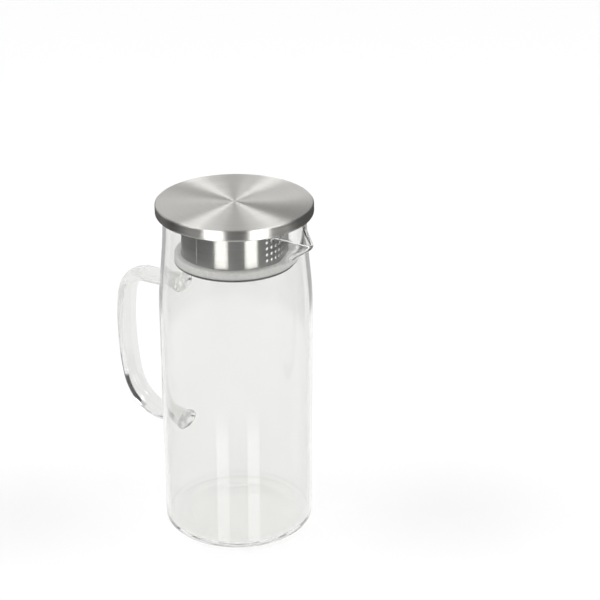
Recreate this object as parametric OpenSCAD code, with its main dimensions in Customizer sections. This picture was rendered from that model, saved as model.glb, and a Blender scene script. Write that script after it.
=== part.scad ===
// Glass pitcher with a turning steel strainer lid.
// Frame: +Z up, origin at the centre of the flat base, spout toward +X, handle toward -X.
// Lengths in millimetres, angles in degrees.

/* [Jug] */
// Height of the rim above the base
rim_z = 215.4; // [190:0.1:260]
// Outer radius at the foot of the wall
foot_r = 48.5; // [40:0.1:60]
// Outer radius where the shoulder begins
shoulder_r = 49.1; // [40:0.1:60]
// Height where the shoulder begins
shoulder_z = 147; // [100:1:180]
// Outer radius of the neck
neck_r = 45; // [40:0.1:56]
// Height where the shoulder has become the neck
neck_z = 212; // [185:1:214]
// Thickness of the blown wall
wall = 2.2; // [1.6:0.1:4]
// Thickness of the floor
floor_t = 4; // [2.5:0.1:8]
// Outer radius of the base corner
corner_r = 4; // [2:0.5:10]
// Radius of the shallow dome under the base
punt_r = 36; // [20:1:42]
// Height of that dome
punt_h = 1.2; // [0.4:0.1:3]

/* [Spout] */
// Distance from the axis to the tip of the beak
tip_reach = 62.5; // [50:0.5:75]
// How far the tip lies below the rim
tip_drop = 6.4; // [0:0.1:12]
// Height where the beak starts to leave the neck
beak_z = 193; // [170:1:205]
// Angle from the tip at which the beak has lost two thirds of its reach
beak_spread = 11.6; // [6:0.1:20]
// Fullness of the beak's flanks near the tip
beak_power = 1.42; // [1:0.02:2.5]
// Half angle of the neck that the beak is drawn from
beak_half = 50; // [35:1:70]

/* [Handle] */
// Width of the glass strap
strap_w = 15; // [10:0.5:24]
// Thickness of the glass strap
strap_t = 10; // [6:0.5:14]
// Height of the upper arm at the wall
arm_z = 155; // [130:0.1:190]
// Length of the straight upper arm
arm_len = 29.7; // [20:0.1:50]
// Droop of the upper arm
arm_droop = 5; // [0:1:20]
// Bend radius at the top of the grip
top_bend = 21.7; // [8:0.1:30]
// Bend radius of the grip itself
grip_bend = 156; // [80:1:400]
// Bend radius at the foot of the grip
low_bend = 28.7; // [12:0.1:40]
// Growth of the strap at its two feet
foot_grow = 3.5; // [0:0.5:8]

/* [Lid] */
// Outer radius of the cap
cap_r = 49.5; // [46:0.1:60]
// Height of the cap's flat top
cap_top = 222.5; // [216:0.1:280]
// Height of the cap's lower edge
cap_low = 214.9; // [210:0.1:260]
// Thickness of the cap's sheet
cap_sheet = 0.8; // [0.5:0.1:2]
// Radius of the cap's upper edge
cap_edge = 1.2; // [0.8:0.1:4]
// Radius of the curl at the cap's lower edge
curl_r = 2; // [1.2:0.1:4]
// Inner radius of the curled lip
lip_r = 46.2; // [40:0.1:50]

/* [Strainer] */
// Outer radius of the drum
drum_r = 33.6; // [25:0.1:40]
// Thickness of the drum's sheet
drum_sheet = 0.7; // [0.4:0.1:2]
// Height of the drum's open lower end
drum_low = 183.9; // [170:0.1:205]
// Radius of the flange turned out at the lower end
flange_r = 35.4; // [30:0.1:44]
// Diameter of a strainer hole
hole_d = 2.2; // [1:0.1:4]
// Holes in each column
hole_rows = 4; // [1:1:6]
// Spacing of the holes up the drum
hole_rise = 4; // [2:0.1:8]
// Angle between columns of holes
hole_step = 6.5; // [4:0.5:15]
// Height of the middle of the pattern
hole_z = 199.7; // [190:0.1:210]
// Width of the pouring window
window_w = 30; // [10:1:44]
// Height of the pouring window
window_h = 15; // [6:0.5:20]

/* [Seal] */
// Outer radius of the seal's collar
seal_r = 38.2; // [34:0.1:42]
// Height of the seal's top
seal_top = 190.5; // [186:0.1:200]

/* [View] */
// Piece to draw

/* [Hidden] */
$fn = 96;
gap = 0.3;
bead_r = wall / 2;
bulge = tip_reach - neck_r;
plate_z = rim_z + gap;
shoulder_steps = 7;
neck_steps = 8;
bead_steps = 4;
beak_cols = 16;
back_cols = 46;

// The blown profile: a slightly tapered tube, then an S-shaped shoulder up to the neck.
function ease(s) = s <= 0 ? 0 : s >= 1 ? 1 : s * s * (3 - 2 * s);
function tube_r(z) =
    z < shoulder_z
        ? foot_r + (shoulder_r - foot_r) * z / shoulder_z
        : shoulder_r - (shoulder_r - neck_r) * ease((z - shoulder_z) / (neck_z - shoulder_z));
function arc(c, r, a0, a1, n) =
    [for (i = [0:n]) let (a = a0 + (a1 - a0) * i / n) c + r * [cos(a), sin(a)]];

// The beak: pull is its share of the full reach at an angle from the spout's middle.
function pull_raw(a) = exp(-pow(sqrt(a * a + 1) / beak_spread, beak_power));
function pull(a) = max(0, (pull_raw(a) - pull_raw(beak_half)) / (pull_raw(0) - pull_raw(beak_half)));
function slant(a) = let (d = 0.25) (pull(a + d) - pull(a - d)) / (2 * d) * bulge;
function rim_at(a) = rim_z - tip_drop * pow(pull(a), 0.74);
function flare(t) = 0.75 * ease(t) + 0.25 * t;
function wall_at(a, t) =
    let (
        turn = slant(a) * flare(t) / (tube_r(beak_z) * PI / 180),
        lean = bulge * pull(a) * (4.75 - 4.5 * t) * t / (rim_at(a) - bead_r - beak_z)
    )
    wall * min(2, sqrt(1 + turn * turn + lean * lean));
function out_r(a, t) = tube_r(beak_z + t * (rim_z - bead_r - beak_z)) + bulge * pull(a) * flare(t);
function out_z(a, t) = beak_z + t * (rim_at(a) - bead_r - beak_z);

// One section through the wall at an angle from the spout's middle: up the outside from the
// base, over the fire-polished bead of the rim, and down the inside to the floor.
function outside(a) = concat(
    arc([foot_r - corner_r, corner_r], corner_r, -90, 0, 5),
    [for (i = [0:shoulder_steps - 1])
        let (z = shoulder_z + (beak_z - shoulder_z) * i / shoulder_steps) [tube_r(z), z]],
    [for (i = [0:neck_steps]) let (t = i / neck_steps) [out_r(a, t), out_z(a, t)]]
);
function bead(a) =
    [for (i = [1:bead_steps - 1])
        let (b = 180 * i / bead_steps, w = wall_at(a, 1))
        [out_r(a, 1) - w / 2 + w / 2 * cos(b), out_z(a, 1) + bead_r * sin(b)]];
function inside(a) = concat(
    [for (i = [0:neck_steps]) let (t = 1 - i / neck_steps) [out_r(a, t) - wall_at(a, t), out_z(a, t)]],
    [for (i = [1:shoulder_steps])
        let (z = beak_z + (shoulder_z - beak_z) * i / shoulder_steps) [tube_r(z) - wall, z]],
    arc([foot_r - wall - corner_r, floor_t + corner_r], corner_r, 0, -90, 5)
);
function section(a) = concat(outside(a), bead(a), inside(a));

// Angles that close up toward the tip of the beak and are even behind it.
function side_angle(s) = beak_half * sign(s) * pow(abs(s), 1.5);
beak_angles = [for (j = [0:2 * beak_cols]) side_angle(j / beak_cols - 1)];
back_angles = [for (j = [1:back_cols - 1]) beak_half + (360 - 2 * beak_half) * j / back_cols];

// The jug is lofted through its sections, from the centre of the base to the centre of the floor.
module jug_loft() {
    angles = concat(beak_angles, back_angles);
    cols = len(angles);
    loop = len(section(0));
    points = concat(
        [for (a = angles, q = section(a)) [q[0] * cos(a), q[0] * sin(a), q[1]]],
        [[0, 0, 0], [0, 0, floor_t]]
    );
    base_mid = cols * loop;
    floor_mid = base_mid + 1;
    skin = [for (j = [0:cols - 1], i = [0:loop - 2])
        let (p = j * loop + i, q = ((j + 1) % cols) * loop + i)
        each [[p, p + 1, q + 1], [p, q + 1, q]]];
    base = [for (j = [0:cols - 1]) [base_mid, j * loop, ((j + 1) % cols) * loop]];
    floor_faces = [for (j = [0:cols - 1])
        [floor_mid, ((j + 1) % cols) * loop + loop - 1, j * loop + loop - 1]];
    polyhedron(points = points, faces = concat(skin, base, floor_faces), convexity = 8);
}

// Shallow dome pressed up into the base, so that the jug stands on a ring.
module punt() {
    rotate_extrude()
        polygon(concat(
            [[0, -1], [punt_r, -1]],
            [for (i = [0:8]) let (s = 1 - i / 8) [punt_r * s, punt_h * (1 - s * s)]]
        ));
}

module glass_body() {
    color([0.86, 0.9, 0.9, 0.35])
        difference() {
            jug_loft();
            punt();
        }
}

// The strap follows straight runs and round bends in the handle's plane.
// A station is [distance from the axis, height, heading].
function ahead(h) = [cos(h), sin(h)];
function left_of(h) = [-sin(h), cos(h)];
function bend_end(p, r, h0, h1) = p + r * (left_of(h1) - left_of(h0));
function run_stations(p, h, lengths) =
    [for (d = lengths) let (q = p + d * ahead(h)) [q[0], q[1], h]];
function bend_stations(p, r, h0, h1, n) =
    [for (i = [1:n])
        let (h = h0 + (h1 - h0) * i / n, q = bend_end(p, r, h0, h)) [q[0], q[1], h]];

// Oval section, spread where the hot glass was pressed on the wall.
function spread(d) = foot_grow * exp(-max(0, d - 49) / 5);
function strap_ring(st, n) =
    let (g = spread(st[0]), u = left_of(st[2]))
    [for (i = [0:n - 1])
        let (
            b = 360 * i / n,
            q = [st[0], st[1]] + u * (strap_t + 0.8 * g) / 2 * cos(b)
        )
        [q[0], (strap_w + g) / 2 * sin(b), q[1]]];

module strap() {
    h_arm = -arm_droop;
    h_top = -81.2;
    h_low = -102.6;
    h_end = -181.2;
    root_r = 46;
    p_arm = [root_r, arm_z];
    p_top = p_arm + (arm_len + 2) * ahead(h_arm);
    p_grip = bend_end(p_top, top_bend, h_arm, h_top);
    p_low = bend_end(p_grip, grip_bend, h_top, h_low);
    p_end = bend_end(p_low, low_bend, h_low, h_end);
    low_len = (p_end[0] - root_r) / cos(h_end + 180);
    stations = concat(
        run_stations(p_arm, h_arm, [0, 3, 5, 7, 10, 14, 20, 27, arm_len + 2]),
        bend_stations(p_top, top_bend, h_arm, h_top, 10),
        bend_stations(p_grip, grip_bend, h_top, h_low, 8),
        bend_stations(p_low, low_bend, h_low, h_end, 11),
        run_stations(p_end, h_end, [for (d = [14, 10, 7, 5, 3, 0]) low_len - d])
    );
    n = 28;
    last = len(stations) - 1;
    points = [for (st = stations, q = strap_ring(st, n)) q];
    skin = [for (j = [0:last - 1], i = [0:n - 1])
        let (k = (i + 1) % n, p = j * n, q = p + n)
        each [[p + i, q + k, p + k], [p + i, q + i, q + k]]];
    first_end = [for (i = [1:n - 2]) [0, i, i + 1]];
    last_end = [for (i = [1:n - 2]) [last * n, last * n + i + 1, last * n + i]];
    polyhedron(points = points, faces = concat(skin, first_end, last_end), convexity = 6);
}

module handle() {
    color([0.84, 0.88, 0.88, 0.4])
        difference() {
            rotate([0, 0, 180])
                strap();
            rotate_extrude()
                polygon([
                    [0, 20],
                    [tube_r(20), 20],
                    [tube_r(shoulder_z), shoulder_z],
                    [tube_r(155), 155],
                    [tube_r(163), 163],
                    [tube_r(180), 180],
                    [0, 180]
                ]);
        }
}

module lid_cap() {
    shell = cap_sheet;
    color([0.74, 0.73, 0.71])
        rotate_extrude()
            polygon(concat(
                [[0, cap_top]],
                arc([cap_r - cap_edge, cap_top - cap_edge], cap_edge, 90, 0, 5),
                arc([cap_r - curl_r, cap_low + curl_r], curl_r, 0, -90, 6),
                [[lip_r, cap_low], [lip_r, cap_low + shell]],
                arc([cap_r - curl_r, cap_low + curl_r], curl_r - shell, -90, 0, 6),
                arc([cap_r - cap_edge, cap_top - cap_edge], cap_edge - shell, 0, 90, 5),
                [[0, cap_top - shell]]
            ));
}

// The plate that closes the cap from below, seated on the curled lip.
module underplate() {
    color([0.68, 0.68, 0.67])
        translate([0, 0, plate_z])
            cylinder(r = cap_r - curl_r + 0.4, h = 1);
}

module hole_column(a) {
    for (i = [0:hole_rows - 1])
        rotate([0, 0, a])
            translate([drum_r - 4, 0, hole_z + (i - (hole_rows - 1) / 2) * hole_rise])
                rotate([0, 90, 0])
                    cylinder(d = hole_d, h = 8, $fn = 24);
}

module window_cut() {
    r = 3;
    translate([-drum_r - 6, 0, hole_z + 1.9])
        rotate([0, 90, 0])
            linear_extrude(height = 14)
                union() {
                    square([window_h, window_w - 2 * r], center = true);
                    square([window_h - 2 * r, window_w], center = true);
                    for (x = [-1, 1], y = [-1, 1])
                        translate([x * (window_h / 2 - r), y * (window_w / 2 - r)])
                            circle(r = r);
                }
}

module strainer_drum() {
    color([0.62, 0.62, 0.61])
        difference() {
            rotate_extrude()
                polygon([
                    [drum_r - drum_sheet, drum_low],
                    [flange_r, drum_low],
                    [flange_r, drum_low + drum_sheet],
                    [drum_r, drum_low + drum_sheet],
                    [drum_r, plate_z],
                    [drum_r - drum_sheet, plate_z]
                ]);
            for (c = [-2:2])
                hole_column(c * hole_step);
            window_cut();
        }
}

// Silicone collar gripping the flange.
module seal_ring() {
    bore = drum_r + gap;
    groove_z = drum_low + drum_sheet + gap;
    color([0.8, 0.82, 0.83, 0.7])
        rotate_extrude()
            polygon([
                [bore, groove_z],
                [flange_r + gap, groove_z],
                [flange_r + gap, drum_low],
                [seal_r - 0.8, drum_low],
                [seal_r, drum_low + 0.8],
                [seal_r, seal_top - 0.6],
                [seal_r - 0.6, seal_top],
                [bore, seal_top]
            ]);
}

glass_body();
handle();
lid_cap();
underplate();
strainer_drum();
seal_ring();
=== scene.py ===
"""A glass pitcher with a turned steel strainer lid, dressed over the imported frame.

Lengths are millimetres, as in the part's source, and MM turns them into metres.
Angles are degrees, measured from the middle of the spout, which faces +X.
"""
from math import cos, exp, hypot, pi, radians, sin, sqrt

import bpy
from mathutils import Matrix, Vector


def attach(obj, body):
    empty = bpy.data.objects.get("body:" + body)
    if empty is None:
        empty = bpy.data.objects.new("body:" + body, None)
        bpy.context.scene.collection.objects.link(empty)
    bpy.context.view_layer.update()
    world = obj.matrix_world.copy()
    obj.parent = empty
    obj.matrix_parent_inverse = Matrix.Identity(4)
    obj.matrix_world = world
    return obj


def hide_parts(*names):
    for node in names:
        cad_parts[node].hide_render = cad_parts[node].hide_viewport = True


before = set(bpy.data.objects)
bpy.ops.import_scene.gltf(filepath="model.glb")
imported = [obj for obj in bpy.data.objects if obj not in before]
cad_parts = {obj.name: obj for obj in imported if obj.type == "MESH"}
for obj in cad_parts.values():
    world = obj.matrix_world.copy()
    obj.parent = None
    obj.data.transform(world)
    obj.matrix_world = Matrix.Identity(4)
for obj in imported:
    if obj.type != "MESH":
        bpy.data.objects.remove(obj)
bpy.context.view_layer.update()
scene = bpy.context.scene
MM = 0.001
UP = Vector((0.0, 0.0, 1.0))

# Jug
RIM_Z = 215.4
FOOT_R = 48.5
SHOULDER_R = 49.1
SHOULDER_Z = 147.0
NECK_R = 45.0
NECK_Z = 212.0
WALL = 2.2
FLOOR_T = 4.0
CORNER_R = 4.0
INSIDE_R = 1.2
PUNT_R = 36.0
PUNT_H = 1.2
BEAD_R = WALL / 2

# Rows of the jug's mesh that lie this close to a bend keep its shading off the plain wall
FLAT_GAP = 0.5
WALL_GAP = 1.0
NECK_GAP = 1.5
SHOULDER_GAP = 2.0

# Spout: the keel is part S-curve and part straight slope, and the glass thickens where it turns away
TIP_REACH = 62.5
TIP_DROP = 6.4
DROP_POWER = 0.74
TIP_ROUND = 1.0
TIP_CROWDING = 0.5
BEAK_Z = 193.0
BEAK_SPREAD = 11.6
BEAK_POWER = 1.42
BEAK_HALF = 50.0
KEEL_EASE = 0.75
MOST_WALL = 2.0
SLANT_STEP = 0.25
BULGE = TIP_REACH - NECK_R

# Handle: an arm, three bends and a short run back to the wall, spread at both feet
STRAP_W = 15.0
STRAP_T = 10.0
ARM_Z = 155.0
ARM_LEN = 29.7
TOP_BEND = 21.7
GRIP_BEND = 156.0
LOW_BEND = 28.7
HEADINGS = (-5.0, -81.2, -102.6, -181.2)
ROOT_R = 46.0
ROOT_DEPTH = 2.0
FUSED_R = 47.6
FOOT_GROW = 3.5
FOOT_RATIO = 0.8
FOOT_FROM = 49.0
FOOT_FADE = 5.0
FOOT_CROWDING = 1.6

# Where the wall and the handle are one glass: an edge to spare, and the radii that bound it
FUSED_EDGE = 0.1
FUSED_INNER = 47.9
FUSED_OUTER = 48.6

# Cap: its flat radius, edge gap and middle radius only place rows of its mesh
CAP_R = 49.5
CAP_TOP = 222.5
CAP_LOW = 214.9
CAP_SHEET = 0.8
CAP_EDGE = 1.2
CURL_R = 2.0
LIP_R = 46.2
CAP_FLAT_R = 46.0
EDGE_GAP = 0.15
MIDDLE_R = 20.0
GAP = 0.3

# Underplate
PLATE_Z = RIM_Z + GAP
PLATE_T = 1.0
PLATE_SEAT = 0.4
PLATE_R = CAP_R - CURL_R + PLATE_SEAT
PLATE_EDGE = 0.3
PLATE_FLAT_R = PLATE_R - PLATE_T

# Strainer drum
DRUM_R = 33.6
DRUM_SHEET = 0.7
DRUM_LOW = 183.9
FLANGE_R = 35.4
HOLE_D = 2.2
HOLE_RISE = 4.0
HOLE_STEP = 6.5
HOLE_Z = 199.7
HOLE_ROWS = 4
HOLE_COLUMNS = 5
HOLE_SIDES = 30
HOLE_CUT = 8.0
WINDOW_AT = 180.0
WINDOW_W = 30.0
WINDOW_H = 15.0
WINDOW_RISE = 1.9
WINDOW_CORNER = 3.0
WINDOW_CUT = 14.0
RADIAL = 0.97

# Weld bead of the drum
SEAM_AT = -93.0
SEAM_HALF = 0.45
SEAM_RISE = 0.1
SEAM_EDGE = 0.01
SEAM_ROOT = 0.3
SEAM_END = 0.2

# Seal
SEAL_R = 38.2
SEAL_TOP = 190.5
SEAL_FOOT_CUT = 0.8
SEAL_TOP_CUT = 0.6
SEAL_ROUND = 0.35

# Finishes: most of a noise lies between these values
NOISE_LOW = 0.3
NOISE_HIGH = 0.7
LINE_SHARE = 0.65
# The edge colour is painted shade for glass seen edge-on; depth and density are the glass's absorption
GLASS_EDGE_SHADE = (0.76, 0.762, 0.752)
GLASS_DEPTH = (0.40, 0.42, 0.41)
GLASS_DENSITY = 0.8

# Floor: pale near the pitcher and plain white from the second distance on
FLOOR_R = 9000.0
FLOOR_SINK = 0.05
FLOOR_GLOW = 0.15
WHITE_FROM = 900.0
WHITE_AT = 2600.0

# Direction of the camera, as the lamps and the floor's cards are set out
TO_CAMERA = -49.5

# Ring of cards round the pitcher: kind, first and last angle, lowest and highest edge
RING_R = 220.0
FLARE = 28.0
RING = (
    ("bright", -87.5, -63.5, 90.0, 250.0),
    ("flag", -87.5, -63.5, 1.0, 90.0),
    ("flag", -63.5, -29.5, 1.0, 400.0),
    ("bright", -29.5, -5.5, 90.0, 250.0),
    ("flag", -29.5, -5.5, 1.0, 90.0),
    ("soft_flag", -5.5, 50.0, 1.0, 400.0),
    ("soft_flag", 50.0, 108.0, 1.0, 450.0),
    ("lid_bright", 108.0, 124.0, 90.0, 250.0),
    ("lid_flag", 124.0, 137.0, 1.0, 250.0),
    ("lid_bright", 137.0, 153.0, 90.0, 250.0),
    ("flag", 153.0, 211.0, 1.0, 250.0),
    ("flag", 211.0, 272.5, 1.0, 400.0),
)

# Cards farther out: kind, first and last angle, profile of radius and height
FAR = (
    ("glass_flag", 28.0, 90.0, ((800.0, 20.0), (700.0, 250.0), (700.0, 950.0), (800.0, 1150.0))),
    ("glass_white", 90.0, 260.0, ((700.0, 250.0), (700.0, 2200.0))),
    ("neck_flag", 88.5, 172.5, ((330.0, 1.0), (2500.0, 1.0))),
)

# Cards on the floor that the wall mirrors as upright strips: first and last angle from the camera's
STRIPS = ((-16.3, -6.8), (7.7, 17.0))
STRIP_SPAN = (1.5, 200.0)
CARD_LIFT = 1.0
CARD_COLUMNS = 13

# Kinds of card: brightness, what mirrors it, and the distances where it is clear and where it is full
CARDS = {
    "flag": (0.02, "steel", (RING_R + FLARE, RING_R)),
    "soft_flag": (0.1, "steel", (RING_R + FLARE, RING_R)),
    "bright": (5.4, "steel", None),
    "lid_flag": (0.4, "open steel", None),
    "lid_bright": (3.5, "open steel", None),
    "strip": (2.1, "bare glass", (240.0, 170.0)),
    "glass_flag": (0.06, "bare glass", (800.0, 740.0)),
    "neck_flag": (0.5, "bare glass", (330.0, 400.0)),
    "glass_white": (1.0, "all glass", None),
}

# Soft boxes: name, angle from the camera's, elevation, distance, width, height, brightness
LAMPS = (
    ("box_left", -90, 54, 4800.0, 2100.0, 2100.0, 4.0),
    ("box_right", 90, 54, 4800.0, 2100.0, 2100.0, 4.0),
    ("strip_left", -26, 20, 3800.0, 1100.0, 3000.0, 1.5),
    ("strip_right", 32, 20, 3800.0, 1100.0, 3000.0, 1.5),
)
LAMP_AIM = 130.0

# Camera
EYE_AT = (693.1, -780.4, 624.7)
EYE_DOWN = 24.235
EYE_TURN = 39.375
LENS = 108.0
SENSOR = 36.0
SIGHT = 50000.0

# Bounces that let light out of the thick rims and feet, and past all the cards
GLASS_BOUNCES = 96
CLEAR_BOUNCES = 28


def cosd(a):
    return cos(radians(a))


def sind(a):
    return sin(radians(a))


def toward(a):
    """The level direction at an angle round the axis."""
    return Vector((cosd(a), sind(a), 0.0))


def spread_out(low, high, count):
    """Evenly spaced values from low to high."""
    return [low + (high - low) * i / (count - 1) for i in range(count)]


def all_round(count):
    """Evenly spaced angles all the way round."""
    return [360.0 * i / count for i in range(count)]


def centred(count, step):
    """Evenly spaced values about zero."""
    return [(i - (count - 1) / 2) * step for i in range(count)]


def arc(centre, radius, start, end, count):
    """Points on an arc in the profile plane."""
    return [
        (centre[0] + radius * cosd(a), centre[1] + radius * sind(a))
        for a in spread_out(start, end, count)
    ]


# Meshes


def add_object(name, points, faces):
    """A smooth mesh object from points in millimetres."""
    mesh = bpy.data.meshes.new(name)
    mesh.from_pydata([[c * MM for c in p] for p in points], [], faces)
    mesh.validate()
    mesh.polygons.foreach_set("use_smooth", [True] * len(mesh.polygons))
    mesh.update()
    obj = bpy.data.objects.new(name, mesh)
    scene.collection.objects.link(obj)
    return obj


def grid_faces(columns, rows):
    """Faces of an open sheet whose points are listed column by column."""
    faces = []
    for i in range(columns - 1):
        for j in range(rows - 1):
            corner = i * rows + j
            faces.append([corner, corner + rows, corner + rows + 1, corner + 1])
    return faces


def tube_faces(rings, count, first=0):
    """Faces of a tube through rings of this many points, closed at both ends."""
    faces = []
    for j in range(rings - 1):
        low = first + j * count
        high = low + count
        for i in range(count):
            k = (i + 1) % count
            faces.append([low + i, low + k, high + k, high + i])
    last = first + (rings - 1) * count
    faces.append([first + count - 1 - i for i in range(count)])
    faces.append([last + i for i in range(count)])
    return faces


def skin(name, angles, sections, closed=False):
    """A surface through the sections (radius, height) at these angles, all the way round.

    A point on the axis is shared by all sections. A closed section joins its end to its start.
    """
    count = len(angles)
    rows = len(sections[0])
    points = []
    rings = []
    for j in range(rows):
        if max(section[j][0] for section in sections) == 0.0:
            rings.append([len(points)] * count)
            points.append((0.0, 0.0, sections[0][j][1]))
            continue
        rings.append(list(range(len(points), len(points) + count)))
        for angle, section in zip(angles, sections):
            radius, height = section[j]
            points.append((radius * cosd(angle), radius * sind(angle), height))
    faces = []
    for j in range(rows if closed else rows - 1):
        low = rings[j]
        high = rings[(j + 1) % rows]
        for i in range(count):
            k = (i + 1) % count
            corners = [low[i], low[k], high[k], high[i]]
            faces.append(list(dict.fromkeys(corners)))
    return add_object(name, points, faces)


def lathe(name, profile, columns, closed=False):
    """A profile turned round the axis."""
    return skin(name, all_round(columns), [profile] * columns, closed)


def rounded(profile, radius, count=4):
    """A closed profile with its corners rounded, over less than half of each side."""
    most = 0.45
    result = []
    total = len(profile)
    for i in range(total):
        here = Vector(profile[i])
        back = Vector(profile[i - 1]) - here
        ahead = Vector(profile[(i + 1) % total]) - here
        cut = min(radius, most * back.length, most * ahead.length)
        start = here + back.normalized() * cut
        end = here + ahead.normalized() * cut
        for s in spread_out(0.0, 1.0, count + 1):
            point = (1 - s) ** 2 * start + 2 * s * (1 - s) * here + s * s * end
            result.append((point.x, point.y))
    return result


def cut_out(obj, cutter):
    """Cut one solid out of another, and remove the cutter."""
    modifier = obj.modifiers.new("cut", "BOOLEAN")
    modifier.operation = "DIFFERENCE"
    modifier.object = cutter
    modifier.solver = "EXACT"
    state = bpy.context.evaluated_depsgraph_get()
    whole = obj.data
    result = bpy.data.meshes.new_from_object(obj.evaluated_get(state))
    obj.modifiers.clear()
    obj.data = result
    spent = cutter.data
    bpy.data.objects.remove(cutter)
    for mesh in (whole, spent):
        bpy.data.meshes.remove(mesh)
    result.name = obj.name


# The blown jug


def ease(s):
    """A smooth step from 0 to 1."""
    s = min(1.0, max(0.0, s))
    return s * s * (3 - 2 * s)


def tube_r(z):
    """The outside radius of the jug without its beak."""
    if z < SHOULDER_Z:
        return FOOT_R + (SHOULDER_R - FOOT_R) * z / SHOULDER_Z
    return SHOULDER_R - (SHOULDER_R - NECK_R) * ease((z - SHOULDER_Z) / (NECK_Z - SHOULDER_Z))


def pull_raw(a):
    """The bell curve that the beak's plan follows, blunted at its tip."""
    return exp(-(hypot(a, TIP_ROUND) / BEAK_SPREAD) ** BEAK_POWER)


def pull(a):
    """The beak's share of its full reach at an angle from the spout's middle."""
    a = (a + 180) % 360 - 180
    least = pull_raw(BEAK_HALF)
    return max(0.0, (pull_raw(a) - least) / (pull_raw(0.0) - least))


def flare(t):
    """How far the beak has swung out at a share t of its height."""
    return KEEL_EASE * ease(t) + (1 - KEEL_EASE) * t


def beak_rise(a):
    """The beak's height from its start on the neck to the rim's bead."""
    return RIM_Z - TIP_DROP * pull(a) ** DROP_POWER - BEAD_R - BEAK_Z


def wall_at(a, t):
    """The wall's width in its section, wider where the beak's glass turns or leans away."""
    slant = (pull(a + SLANT_STEP) - pull(a - SLANT_STEP)) / (2 * SLANT_STEP) * BULGE
    turn = slant * flare(t) / (tube_r(BEAK_Z) * pi / 180)
    # The slope of the flare, brought to zero where the beak starts
    slope = (6 * KEEL_EASE * (1 - t) + 1 - KEEL_EASE) * t
    lean = BULGE * pull(a) * slope / beak_rise(a)
    return WALL * min(MOST_WALL, sqrt(1 + turn * turn + lean * lean))


def out_r(a, t):
    """The outside radius at an angle and a share t of the beak's height."""
    return tube_r(BEAK_Z + t * (RIM_Z - BEAD_R - BEAK_Z)) + BULGE * pull(a) * flare(t)


def out_z(a, t):
    """The height at an angle and a share t of the beak's height."""
    return BEAK_Z + t * beak_rise(a)


def wall_heights(low):
    """Heights up the wall, from low to just under the beak."""
    straight = spread_out(low, SHOULDER_Z, 26)
    return straight + spread_out(SHOULDER_Z + SHOULDER_GAP, BEAK_Z - NECK_GAP, 20)


def jug_section(a):
    """Out along the base, up the outside, over the rim's bead and down the inside to the floor."""
    corner = FOOT_R - CORNER_R
    inside = FOOT_R - WALL - INSIDE_R
    steps = spread_out(0.0, 1.0, 26)
    points = [(PUNT_R * s, PUNT_H * (1 - s * s)) for s in spread_out(0.0, 1.0, 13)]
    points += [(r, 0.0) for r in spread_out(PUNT_R + WALL_GAP, corner - FLAT_GAP, 5)]
    points += arc((corner, CORNER_R), CORNER_R, -90, 0, 15)
    points += [(tube_r(z), z) for z in wall_heights(CORNER_R + WALL_GAP)]
    points += [(out_r(a, t), out_z(a, t)) for t in steps]
    half = wall_at(a, 1.0) / 2
    for b in spread_out(0.0, 180.0, 15)[1:-1]:
        points.append((out_r(a, 1.0) - half + half * cosd(b), out_z(a, 1.0) + BEAD_R * sind(b)))
    points += [(out_r(a, t) - wall_at(a, t), out_z(a, t)) for t in reversed(steps)]
    points += [(tube_r(z) - WALL, z) for z in reversed(wall_heights(FLOOR_T + INSIDE_R + WALL_GAP))]
    points += arc((inside, FLOOR_T + INSIDE_R), INSIDE_R, 0, -90, 13)
    points += [(r, FLOOR_T) for r in spread_out(inside - FLAT_GAP, 0.0, 13)]
    return points


def jug_angles():
    """Angles all the way round, crowded toward the beak's tip."""
    beak = [BEAK_HALF * s * abs(s) ** TIP_CROWDING for s in spread_out(-1.0, 1.0, 57)]
    return beak + spread_out(BEAK_HALF, 360 - BEAK_HALF, 150)[1:-1]


def make_jug():
    """The jug in one skin, with its beak, rim and floor."""
    angles = jug_angles()
    return skin("blown_body", angles, [jug_section(a) for a in angles])


# The strap handle


def left_of(h):
    """The direction to the left of a heading in the handle's plane."""
    return Vector((-sind(h), cosd(h)))


def ahead_of(h):
    """The direction of a heading in the handle's plane."""
    return Vector((cosd(h), sind(h)))


def bend(start, radius, first, last, count):
    """Stations round a bend, each (place, heading), without the one it starts from."""
    stations = []
    for h in spread_out(first, last, count)[1:]:
        stations.append((start + radius * (left_of(h) - left_of(first)), h))
    return stations


def handle_stations():
    """Stations from the upper foot to the lower one, closer together at the feet."""
    arm, top, low, end = HEADINGS
    root = Vector((ROOT_R, ARM_Z))
    first = (FUSED_R - ROOT_R) / cosd(arm)
    run = ARM_LEN + ROOT_DEPTH - first
    stations = []
    for s in spread_out(0.0, 1.0, 26):
        stations.append((root + (first + run * s ** FOOT_CROWDING) * ahead_of(arm), arm))
    stations += bend(stations[-1][0], TOP_BEND, arm, top, 30)
    stations += bend(stations[-1][0], GRIP_BEND, top, low, 30)
    stations += bend(stations[-1][0], LOW_BEND, low, end, 34)
    start = stations[-1][0]
    run = (start.x - FUSED_R) / cosd(end + 180)
    for s in spread_out(0.0, 1.0, 24)[1:]:
        stations.append((start + run * (1 - (1 - s) ** FOOT_CROWDING) * ahead_of(end), end))
    return stations


def make_handle():
    """An oval strap swept along its bends, spread where it was pressed on the wall."""
    sides = 56
    stations = handle_stations()
    points = []
    for place, h in stations:
        grow = FOOT_GROW * exp(-max(0.0, place.x - FOOT_FROM) / FOOT_FADE)
        half_w = (STRAP_W + grow) / 2
        half_t = (STRAP_T + FOOT_RATIO * grow) / 2
        for b in all_round(sides):
            spot = place + left_of(h) * (half_t * cosd(b))
            points.append((-spot.x, half_w * sind(b), spot.y))
    return add_object("strap_handle", points, tube_faces(len(stations), sides))


# The lid


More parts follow.
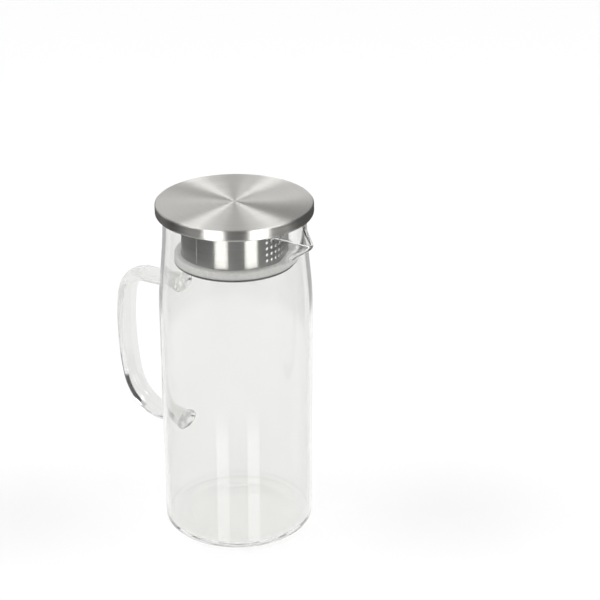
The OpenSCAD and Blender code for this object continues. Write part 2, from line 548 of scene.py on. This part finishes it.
def make_cap():
    """The pressed cap: under its top, down inside its edge, round the curl and back over the top."""
    edge = (CAP_R - CAP_EDGE, CAP_TOP - CAP_EDGE)
    curl = (CAP_R - CURL_R, CAP_LOW + CURL_R)
    under = CAP_TOP - CAP_SHEET
    half = CAP_SHEET / 2
    profile = [(0.0, under), (MIDDLE_R, under)]
    profile += arc(edge, CAP_EDGE - CAP_SHEET, 90, 0, 6)
    profile += arc(curl, CURL_R - CAP_SHEET, 0, -90, 10)
    profile += arc((LIP_R + half, CAP_LOW + half), half, 90, 270, 9)
    profile += arc(curl, CURL_R, -90, 0, 18)
    profile += [(CAP_R, z) for z in spread_out(curl[1] + EDGE_GAP, edge[1] - EDGE_GAP, 5)]
    profile += arc(edge, CAP_EDGE, 0, 90, 14)
    profile += [(edge[0] - EDGE_GAP, CAP_TOP)]
    profile += [(CAP_FLAT_R * s * s, CAP_TOP) for s in spread_out(1.0, 0.0, 13)]
    return lathe("steel_cap", profile, 192)


def make_plate():
    """The plate that closes the cap, with its edge resting in the curl."""
    top = PLATE_Z + PLATE_T
    round_r = PLATE_R - PLATE_EDGE
    profile = [(r, PLATE_Z) for r in (0.0, MIDDLE_R, DRUM_R + EDGE_GAP, PLATE_FLAT_R)]
    profile += arc((round_r, PLATE_Z + PLATE_EDGE), PLATE_EDGE, -90, 0, 5)
    profile += arc((round_r, top - PLATE_EDGE), PLATE_EDGE, 0, 90, 5)
    profile += [(r, top) for r in (PLATE_FLAT_R, MIDDLE_R, 0.0)]
    return lathe("steel_plate", profile, 128)


def window_outline():
    """A rectangle with round corners."""
    outline = []
    for x, y, turn in ((1, 1, 0), (-1, 1, 90), (-1, -1, 180), (1, -1, 270)):
        centre = (x * (WINDOW_W / 2 - WINDOW_CORNER), y * (WINDOW_H / 2 - WINDOW_CORNER))
        outline += arc(centre, WINDOW_CORNER, turn, turn + 90, 8)
    return outline


def add_cut(points, faces, angle, height, outline, depth):
    """Add the prism that cuts this outline through the drum's sheet."""
    outward = toward(angle)
    side = UP.cross(outward)
    middle = outward * DRUM_R + UP * height
    faces += tube_faces(2, len(outline), len(points))
    for reach in (-depth / 2, depth / 2):
        for u, v in outline:
            points.append(middle + outward * reach + side * u + UP * v)


def make_drum():
    """The rolled drum with its round holes toward the spout and its pouring window behind."""
    inner = DRUM_R - DRUM_SHEET
    step = DRUM_LOW + DRUM_SHEET
    profile = [(inner, DRUM_LOW), (FLANGE_R, DRUM_LOW), (FLANGE_R, step)]
    profile += [(DRUM_R, step), (DRUM_R, PLATE_Z), (inner, PLATE_Z)]
    drum = lathe("steel_drum", profile, 240, closed=True)
    points = []
    faces = []
    circle = [(HOLE_D / 2 * cosd(b), HOLE_D / 2 * sind(b)) for b in all_round(HOLE_SIDES)]
    for angle in centred(HOLE_COLUMNS, HOLE_STEP):
        for rise in centred(HOLE_ROWS, HOLE_RISE):
            add_cut(points, faces, angle, HOLE_Z + rise, circle, HOLE_CUT)
    add_cut(points, faces, WINDOW_AT, HOLE_Z + WINDOW_RISE, window_outline(), WINDOW_CUT)
    cut_out(drum, add_object("cutter", points, faces))
    round_normals(drum)
    return drum


def away_from_axis(place):
    """The level direction from the axis to a place."""
    return Vector((place.x, place.y, 0.0)).normalized()


def round_normals(obj):
    """Radial normals on the rolled sheet, flat ones on its cut edges."""
    mesh = obj.data
    mesh.polygons.foreach_set("use_smooth", [True] * len(mesh.polygons))
    normals = [UP] * len(mesh.loops)
    for polygon in mesh.polygons:
        facing = polygon.normal.dot(away_from_axis(polygon.center))
        for i in polygon.loop_indices:
            outward = away_from_axis(mesh.vertices[mesh.loops[i].vertex_index].co)
            if abs(facing) > RADIAL:
                normals[i] = outward if facing > 0 else -outward
            else:
                normals[i] = polygon.normal.copy()
    mesh.normals_split_custom_set(normals)


def make_seam():
    """The low bead of the weld that closes the rolled drum, rooted in its sheet."""
    outward = toward(SEAM_AT)
    side = UP.cross(outward)
    outline = [(s, SEAM_RISE * (1 - s * s) + SEAM_EDGE) for s in spread_out(-1.0, 1.0, 9)]
    outline += [(1.0, -SEAM_ROOT), (-1.0, -SEAM_ROOT)]
    heights = spread_out(SEAL_TOP + SEAM_END, PLATE_Z - SEAM_END, 24)
    points = []
    for z in heights:
        for s, lift in outline:
            across = SEAM_HALF * s
            depth = sqrt(DRUM_R ** 2 - across ** 2) + lift
            points.append(outward * depth + side * across + UP * z)
    return add_object("drum_seam", points, tube_faces(len(heights), len(outline)))


def make_seal():
    """The collar that grips the drum's flange from above and from outside."""
    bore = DRUM_R + GAP
    groove_r = FLANGE_R + GAP
    groove_z = DRUM_LOW + DRUM_SHEET + GAP
    profile = [
        (bore, groove_z),
        (groove_r, groove_z),
        (groove_r, DRUM_LOW),
        (SEAL_R - SEAL_FOOT_CUT, DRUM_LOW),
        (SEAL_R, DRUM_LOW + SEAL_FOOT_CUT),
        (SEAL_R, SEAL_TOP - SEAL_TOP_CUT),
        (SEAL_R - SEAL_TOP_CUT, SEAL_TOP),
        (bore, SEAL_TOP),
    ]
    return lathe("silicone_seal", rounded(profile, SEAL_ROUND), 192, closed=True)


# Materials


def opaque(colour):
    return (*colour, 1.0)


def grey(tone):
    return (tone, tone, tone)


class Graph:
    """The node tree of a material or world, with short ways to add nodes to it."""

    def __init__(self, tree):
        self.nodes = tree.nodes
        self.links = tree.links

    def feed(self, node, inputs):
        """Set a node's inputs by name or number: a socket is linked, and a value is set."""
        for key, value in inputs.items():
            if isinstance(value, bpy.types.NodeSocket):
                self.links.new(value, node.inputs[key])
            else:
                node.inputs[key].default_value = value

    def add(self, kind, inputs=None, **settings):
        """A new shader node of this kind."""
        node = self.nodes.new("ShaderNode" + kind)
        for name, value in settings.items():
            setattr(node, name, value)
        self.feed(node, inputs or {})
        return node

    def math(self, operation, first, second=0.0):
        """A math node's result; each operand is a socket or a number."""
        return self.add("Math", {0: first, 1: second}, operation=operation).outputs[0]

    def place(self, kind="Object"):
        """The coordinates of a point, in metres on an object."""
        return self.add("TexCoord").outputs[kind]

    def axes(self, vector):
        """The x, y and z of a vector."""
        return tuple(self.add("SeparateXYZ", {0: vector}).outputs)

    def axis_distance(self, x, y):
        """The distance from the pitcher's axis."""
        squares = self.math("ADD", self.math("MULTIPLY", x, x), self.math("MULTIPLY", y, y))
        return self.math("SQRT", squares)

    def noise(self, vector, scale, detail):
        inputs = {"Vector": vector, "Scale": scale, "Detail": detail}
        return self.add("TexNoise", inputs).outputs["Fac"]

    def share(self, value, start, end, curve="LINEAR"):
        """0 up to the start, 1 from the end on, and rising between them."""
        inputs = {"Value": value, "From Min": start, "From Max": end}
        return self.add("MapRange", inputs, interpolation_type=curve).outputs[0]

    def values(self, noise, low, high):
        """A value that follows a noise from low to high."""
        inputs = {"Value": noise, "From Min": NOISE_LOW, "From Max": NOISE_HIGH}
        return self.add("MapRange", {**inputs, "To Min": low, "To Max": high}).outputs[0]

    def ramp(self, factor, stops):
        """A colour ramp through stops of (position, colour)."""
        node = self.add("ValToRGB", {0: factor})
        elements = node.color_ramp.elements
        for element, (position, colour) in zip(elements, (stops[0], stops[-1])):
            element.position = position
            element.color = opaque(colour)
        for position, colour in stops[1:-1]:
            elements.new(position).color = opaque(colour)
        return node.outputs[0]

    def colours(self, noise, low, high):
        """A colour that follows a noise from low to high."""
        return self.ramp(noise, ((NOISE_LOW, low), (NOISE_HIGH, high)))

    def bump(self, height, strength, distance):
        inputs = {"Height": height, "Strength": strength, "Distance": distance}
        return self.add("Bump", inputs).outputs[0]

    def show(self, factor, first, second):
        """Make the surface a mix of two shaders."""
        mix = self.add("MixShader", {0: factor, 1: first.outputs[0], 2: second.outputs[0]})
        self.feed(self.nodes["Material Output"], {"Surface": mix.outputs[0]})


def new_material(name):
    """A material, its graph and its shader."""
    material = bpy.data.materials.new(name)
    material.use_nodes = True
    graph = Graph(material.node_tree)
    return material, graph, graph.nodes["Principled BSDF"]


def turned_coordinates(graph, fine, along):
    """A vector that changes quickly across the turned lines and slowly along them."""
    x, y, z = graph.axes(graph.place())
    turn = graph.math("ARCTAN2", y, x)
    parts = (
        graph.math("MULTIPLY", graph.math("ADD", graph.axis_distance(x, y), z), fine),
        graph.math("MULTIPLY", graph.math("COSINE", turn), along),
        graph.math("MULTIPLY", graph.math("SINE", turn), along),
    )
    return graph.add("CombineXYZ", dict(enumerate(parts))).outputs[0]


def turned_steel(name, low, high, roughness, anisotropy, metallic=1.0):
    """Steel finished on a lathe: fine lines round the axis stretch its highlights across them."""
    material, graph, shader = new_material(name)
    lines = graph.noise(turned_coordinates(graph, fine=3600.0, along=1.6), scale=1.0, detail=3.0)
    bands = graph.noise(turned_coordinates(graph, fine=500.0, along=0.8), scale=1.0, detail=2.0)
    fine = graph.math("MULTIPLY", lines, LINE_SHARE)
    both = graph.math("ADD", fine, graph.math("MULTIPLY", bands, 1 - LINE_SHARE))
    graph.feed(shader, {
        "Base Color": graph.colours(both, low, high),
        "Roughness": graph.values(both, *roughness),
        "Metallic": metallic,
        "Anisotropic": anisotropy,
        "Anisotropic Rotation": 0.25,
        "Tangent": graph.add("Tangent", direction_type="RADIAL", axis="Z").outputs[0],
        "Normal": graph.bump(lines, strength=0.06, distance=0.05 * MM),
    })
    return material


def blown_glass(name, low, high, ripple, fused):
    """Clear glass that greys with its thickness, with painted shade that darkens it where its surface is
    seen edge-on, and with the slow ripple of a drawn tube.

    Lamps shine through it, and so does everything where fused says the pieces are one glass.
    """
    material, graph, shader = new_material(name)
    place = graph.place()
    stretched = graph.add("Mapping", {"Vector": place, "Scale": (1.0, 1.0, 0.25)}).outputs[0]
    waves = graph.noise(stretched, scale=38.0, detail=1.0)
    # Painted shade: the tint darkens toward the edge colour where the surface is seen edge-on
    facing = graph.add("LayerWeight", {"Blend": 0.5}).outputs["Facing"]
    tint = graph.add("Mix", {
        "Factor": graph.share(facing, start=0.5, end=0.85),
        "A": graph.colours(waves, low, high),
        "B": opaque(GLASS_EDGE_SHADE),
    }, data_type="RGBA")
    graph.feed(shader, {
        "Base Color": tint.outputs["Result"],
        "Roughness": 0.0,
        "IOR": 1.47,
        "Transmission Weight": 1.0,
        "Normal": graph.bump(waves, strength=ripple, distance=0.4 * MM),
    })
    shadow = graph.add("LightPath").outputs["Is Shadow Ray"]
    passing = graph.math("MAXIMUM", shadow, fused(graph, *graph.axes(place)))
    graph.show(passing, shader, graph.add("BsdfTransparent"))
    depth = graph.add("VolumeAbsorption", {"Color": opaque(GLASS_DEPTH), "Density": GLASS_DENSITY})
    graph.feed(graph.nodes["Material Output"], {"Volume": depth.outputs[0]})
    return material


def under_feet(graph, x, y, z):
    """1 on the outside of the wall where a foot of the handle is fused to it."""
    half_y = (STRAP_W + FOOT_GROW) / 2 - FUSED_EDGE
    half_z = (STRAP_T + FOOT_RATIO * FOOT_GROW) / 2 - FUSED_EDGE
    stations = handle_stations()
    across = graph.math("DIVIDE", y, half_y * MM)
    across = graph.math("MULTIPLY", across, across)
    either = 0.0
    for place, _ in (stations[0], stations[-1]):
        rise = graph.math("DIVIDE", graph.math("SUBTRACT", z, place.y * MM), half_z * MM)
        rise = graph.math("MULTIPLY", rise, rise)
        inside = graph.math("LESS_THAN", graph.math("ADD", across, rise), 1.0)
        either = graph.math("MAXIMUM", inside, either)
    behind = graph.math("LESS_THAN", x, 0.0)
    outer = graph.math("GREATER_THAN", graph.axis_distance(x, y), FUSED_INNER * MM)
    return graph.math("MULTIPLY", either, graph.math("MULTIPLY", behind, outer))


def in_wall(graph, x, y, z):
    """1 on the ends of the handle that lie within the wall, at any height z."""
    return graph.math("LESS_THAN", graph.axis_distance(x, y), FUSED_OUTER * MM)


def milky_silicone(name):
    """Translucent silicone with a satin skin and a faint cloud inside, darker toward the bottom as
    painted shade, near black along its lower edge.
    """
    material, graph, shader = new_material(name)
    place = graph.place()
    height = graph.axes(place)[2]
    cloud = graph.noise(place, scale=120.0, detail=3.0)
    grain = graph.noise(place, scale=2600.0, detail=2.0)
    rise = graph.share(height, DRUM_LOW * MM, SEAL_TOP * MM)
    # Painted shade: the base colour is near black along the lower edge and grows paler up to the top
    stops = ((0.23, grey(0.03)), (0.31, grey(0.78)), (0.5, grey(0.96)), (1.0, grey(1.0)))
    tint = graph.add("Mix", {
        "Factor": 1.0,
        "A": graph.ramp(rise, stops),
        "B": graph.colours(cloud, (0.98, 0.965, 0.94), (1.0, 0.985, 0.96)),
    }, data_type="RGBA", blend_type="MULTIPLY")
    graph.feed(shader, {
        "Base Color": tint.outputs["Result"],
        "Roughness": graph.values(grain, low=0.20, high=0.32),
        "IOR": 1.41,
        "Transmission Weight": 0.3,
        "Subsurface Weight": 0.8,
        "Subsurface Radius": (1.0, 1.0, 1.0),
        "Subsurface Scale": 6 * MM,
        "Normal": graph.bump(grain, strength=0.08, distance=0.1 * MM),
    })
    return material


def wear(obj, material):
    """Give an object one finish all over."""
    obj.data.materials.clear()
    obj.data.materials.append(material)


def wear_inside(obj, material):
    """Give the faces that look toward the axis a material of their own."""
    obj.data.materials.append(material)
    for polygon in obj.data.polygons:
        if polygon.normal.dot(away_from_axis(polygon.center)) < -RADIAL:
            polygon.material_index = 1


# Pieces

clear_glass = blown_glass("clear_glass", (0.898, 0.90, 0.889), (0.912, 0.914, 0.903), 0.05, under_feet)
handle_glass = blown_glass("handle_glass", (0.80, 0.802, 0.79), (0.815, 0.817, 0.805), 0.08, in_wall)
cap_steel = turned_steel("cap_steel", (0.67, 0.66, 0.632), (0.79, 0.778, 0.745), (0.36, 0.48), 0.98)
plate_steel = turned_steel("plate_steel", (0.50, 0.495, 0.475), (0.60, 0.594, 0.57), (0.30, 0.42), 0.8)
# Painted shade: the drum's steel is a darker copy of the cap's, standing in for the dark that it mirrors
# inside the jug
drum_steel = turned_steel("drum_steel", (0.383, 0.379, 0.364), (0.497, 0.492, 0.474), (0.26, 0.36), 0.97)
# Painted light: the drum's inside is a lighter, rougher, less metal copy of its steel, standing in for
# light through the window and holes
drum_inside_painted_light = turned_steel(
    "drum_inside_painted_light", (0.78, 0.775, 0.75), (0.88, 0.875, 0.85), (0.55, 0.70), 0.3, metallic=0.35
)
silicone = milky_silicone("silicone")

jug = make_jug()
handle = make_handle()
wear(jug, clear_glass)
wear(handle, handle_glass)

cap = make_cap()
plate = make_plate()
drum = make_drum()
seam = make_seam()
seal = make_seal()
wear(cap, cap_steel)
wear(plate, plate_steel)
wear(drum, drum_steel)
# The inner faces get the painted light copy of the drum's steel
wear_inside(drum, drum_inside_painted_light)
wear(seam, plate_steel)
wear(seal, silicone)

for piece, body, node, slot in (
    (jug, "jug", "glass_body", "clear_glass"),
    (handle, "jug", "handle", "handle_glass"),
    (cap, "lid", "lid_cap", "cap_steel"),
    (plate, "lid", "underplate", "plate_steel"),
    (drum, "lid", "strainer_drum", "drum_steel"),
    (seam, "lid", None, "drum_steel"),
    (seal, "seal", "seal_ring", "silicone"),
):
    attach(piece, body)
    if node:
        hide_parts(node)


# Stage


def make_floor():
    """A pale floor that is white to the eye, in metal and through glass, and keeps the shadow.

    Far from the pitcher, where the lamps fade, it shows as plain white.
    """
    count = 96
    points = [UP * -FLOOR_SINK]
    points += [toward(a) * FLOOR_R - UP * FLOOR_SINK for a in all_round(count)]
    faces = [[0, 1 + i, 1 + (i + 1) % count] for i in range(count)]
    floor = add_object("floor", points, faces)
    material, graph, shader = new_material("floor_white")
    path = graph.add("LightPath").outputs
    seen = graph.math("MAXIMUM", path["Is Camera Ray"], path["Is Glossy Ray"])
    seen = graph.math("MAXIMUM", seen, path["Is Transmission Ray"])
    graph.feed(shader, {
        "Base Color": opaque(grey(0.80)),
        "Roughness": 0.9,
        "Specular IOR Level": 0.0,
        "Emission Color": opaque(grey(1.0)),
        "Emission Strength": graph.math("MULTIPLY", seen, FLOOR_GLOW),
    })
    x, y, _ = graph.axes(graph.place())
    far = graph.share(graph.axis_distance(x, y), WHITE_FROM * MM, WHITE_AT * MM, "SMOOTHSTEP")
    graph.show(graph.math("MULTIPLY", seen, far), shader, graph.add("Emission"))
    wear(floor, material)


def card_material(name, level, shown_in, fade):
    """A studio card that shows only as a reflection, in some of the steel or of the glass.

    Open steel is satin steel with no glass between it and the card, and steel is that and the
    steel inside the jug. All glass is every clear reflection, and bare glass is all but those
    from inside the jug. A path from there crossed glass three times or more and was mirrored once.
    """
    material, graph, shader = new_material(name)
    graph.nodes.remove(shader)
    path = graph.add("LightPath").outputs
    mirrored = graph.math("GREATER_THAN", path["Glossy Depth"], 0.5)
    through = graph.math("GREATER_THAN", path["Transmission Depth"], 2.5)
    once = graph.math("LESS_THAN", path["Glossy Depth"], 1.5)
    satin = graph.math("SUBTRACT", 1.0, path["Is Singular Ray"])
    steel = graph.math("MAXIMUM", graph.math("MULTIPLY", through, once), satin)
    shown = {
        "steel": steel,
        "open steel": satin,
        "bare glass": graph.math("SUBTRACT", 1.0, steel),
        "all glass": path["Is Singular Ray"],
    }[shown_in]
    if fade:
        clear_at, full_at = fade
        x, y, _ = graph.axes(graph.place())
        soft = graph.share(graph.axis_distance(x, y), clear_at * MM, full_at * MM, "SMOOTHSTEP")
        shown = graph.math("MULTIPLY", shown, soft)
    glow = graph.add("Emission", {"Strength": level})
    graph.show(graph.math("MULTIPLY", mirrored, shown), graph.add("BsdfTransparent"), glow)
    return material


def place_card(name, points, rows, material):
    """A card whose points are listed column by column, seen by nothing but reflections."""
    card = add_object(name, points, grid_faces(len(points) // rows, rows))
    card.visible_camera = False
    card.visible_diffuse = False
    card.visible_shadow = False
    wear(card, material)


def bent_card(name, start, end, profile, material):
    """A card bent round the axis between two angles, with this profile (radius, height)."""
    columns = spread_out(start, end, CARD_COLUMNS)
    points = [toward(a) * r + UP * z for a in columns for r, z in profile]
    place_card(name, points, len(profile), material)


def upright_strip(name, start, end, material):
    """A card on the floor that the front of the wall mirrors as an upright strip."""
    points = []
    for a in spread_out(start, end, CARD_COLUMNS):
        away = toward(2 * a - TO_CAMERA)
        for distance in STRIP_SPAN:
            points.append(toward(a) * FOOT_R + away * distance + UP * CARD_LIFT)
    place_card(name, points, len(STRIP_SPAN), material)


def make_cards():
    """Dark flags and bright cards; those of the ring that reach the floor flare out there."""
    kinds = {kind: card_material("card_" + kind, *facts) for kind, facts in CARDS.items()}
    for number, (kind, start, end, low, high) in enumerate(RING):
        profile = [(RING_R, low), (RING_R, high)]
        if low < FLARE:
            profile = [(RING_R + FLARE, low), (RING_R, low + FLARE), (RING_R, high)]
        bent_card("ring_%d" % number, start, end, profile, kinds[kind])
    for number, (kind, start, end, profile) in enumerate(FAR):
        bent_card("far_%d" % number, start, end, profile, kinds[kind])
    for number, (start, end) in enumerate(STRIPS):
        upright_strip("strip_%d" % number, TO_CAMERA + start, TO_CAMERA + end, kinds["strip"])


def add_lamp(name, angle, elevation, distance, width, height, brightness):
    """A soft box aimed at the middle of the pitcher, with its brightness as seen in a mirror."""
    lamp = bpy.data.lights.new(name, "AREA")
    lamp.shape = "RECTANGLE"
    lamp.size = width * MM
    lamp.size_y = height * MM
    lamp.energy = brightness * pi * lamp.size * lamp.size_y
    obj = bpy.data.objects.new(name, lamp)
    away = toward(TO_CAMERA + angle) * cosd(elevation) + UP * sind(elevation)
    obj.location = (UP * LAMP_AIM + away * distance) * MM
    obj.rotation_euler = away.to_track_quat("Z", "Y").to_euler()
    obj.visible_camera = False
    scene.collection.objects.link(obj)


def make_world():
    """A pale room, lighter at the horizon than overhead."""
    world = bpy.data.worlds.new("room")
    world.use_nodes = True
    graph = Graph(world.node_tree)
    height = graph.axes(graph.place("Generated"))[2]
    room = graph.ramp(height, ((0.0, grey(1.0)), (0.3, grey(0.78)), (1.0, grey(0.60))))
    graph.feed(graph.nodes["Background"], {"Color": room, "Strength": 1.0})
    scene.world = world


def make_camera():
    """A camera at the photograph's viewing angle."""
    camera = bpy.data.cameras.new("camera")
    camera.lens = LENS
    camera.sensor_width = SENSOR
    camera.clip_end = SIGHT * MM
    eye = bpy.data.objects.new("camera", camera)
    eye.location = Vector(EYE_AT) * MM
    eye.rotation_euler = (radians(90 - EYE_DOWN), 0.0, radians(EYE_TURN))
    scene.collection.objects.link(eye)
    scene.camera = eye


make_floor()
make_cards()
make_world()
for lamp_facts in LAMPS:
    add_lamp(*lamp_facts)
make_camera()

scene.view_settings.view_transform = "Standard"
scene.cycles.use_denoising = True
scene.cycles.max_bounces = GLASS_BOUNCES
scene.cycles.transmission_bounces = GLASS_BOUNCES
scene.cycles.glossy_bounces = GLASS_BOUNCES
scene.cycles.transparent_max_bounces = CLEAR_BOUNCES
